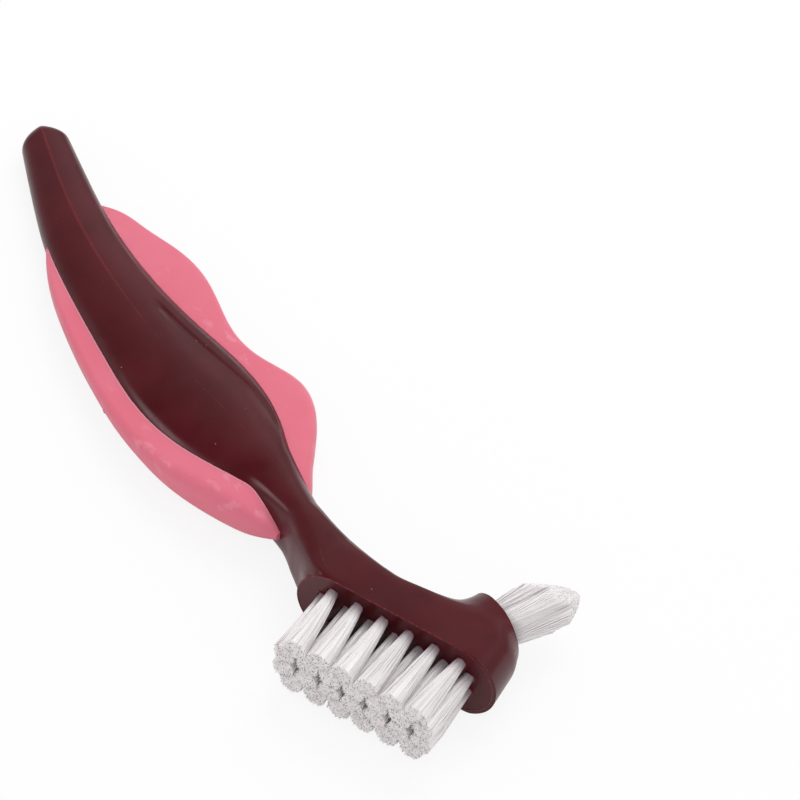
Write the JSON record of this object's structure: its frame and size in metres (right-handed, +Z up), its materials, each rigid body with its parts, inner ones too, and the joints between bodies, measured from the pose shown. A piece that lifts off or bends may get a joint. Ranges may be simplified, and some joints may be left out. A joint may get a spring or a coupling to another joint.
{
  "type": "denture brush",
  "caption": "Denture brush with a bulged plastic handle, soft rubber side wings, a bristle field on its tilted head and a pointed tuft cluster on the raised end of the head.",
  "frame": {"origin": "centre of the footprint, on the surface that the brush lies on", "axes": "+X along the handle from the tail to the head, +Y towards the tip of the point brush, +Z up through the thickness of the brush as it lies on its side"},
  "size_m": [0.1798, 0.058, 0.0168],
  "materials": {
    "hard_plastic": "glossy moulded, dark wine red",
    "soft_rubber": "matte moulded, pink",
    "bristle_nylon": "translucent white filaments with cut tips",
    "anchor_metal": "flat drawn wire"
  },
  "bodies": {
    "root": {"handle_core": "hard_plastic", "rubber_grip": "soft_rubber", "tuft_row1_1": "bristle_nylon", "tuft_row1_2": "bristle_nylon", "tuft_row1_3": "bristle_nylon", "tuft_row1_4": "bristle_nylon", "tuft_row1_5": "bristle_nylon", "tuft_row1_6": "bristle_nylon", "tuft_row2_1": "bristle_nylon", "tuft_row2_2": "bristle_nylon", "tuft_row2_3": "bristle_nylon", "tuft_row2_4": "bristle_nylon", "tuft_row2_5": "bristle_nylon", "tuft_row2_6": "bristle_nylon", "tuft_row2_7": "bristle_nylon", "tuft_row3_1": "bristle_nylon", "tuft_row3_2": "bristle_nylon", "tuft_row3_3": "bristle_nylon", "tuft_row3_4": "bristle_nylon", "tuft_row3_5": "bristle_nylon", "tuft_row3_6": "bristle_nylon", "tuft_row3_7": "bristle_nylon", "tuft_row4_1": "bristle_nylon", "tuft_row4_2": "bristle_nylon", "tuft_row4_3": "bristle_nylon", "tuft_row4_4": "bristle_nylon", "tuft_row4_5": "bristle_nylon", "tuft_row4_6": "bristle_nylon", "point_tuft_1": "bristle_nylon", "point_tuft_2": "bristle_nylon", "point_tuft_3": "bristle_nylon", "point_tuft_4": "bristle_nylon", "point_tuft_5": "bristle_nylon", "point_tuft_6": "bristle_nylon", "point_tuft_7": "bristle_nylon", "main_anchors": "anchor_metal", "point_anchors": "anchor_metal"}
  },
  "joints": []
}
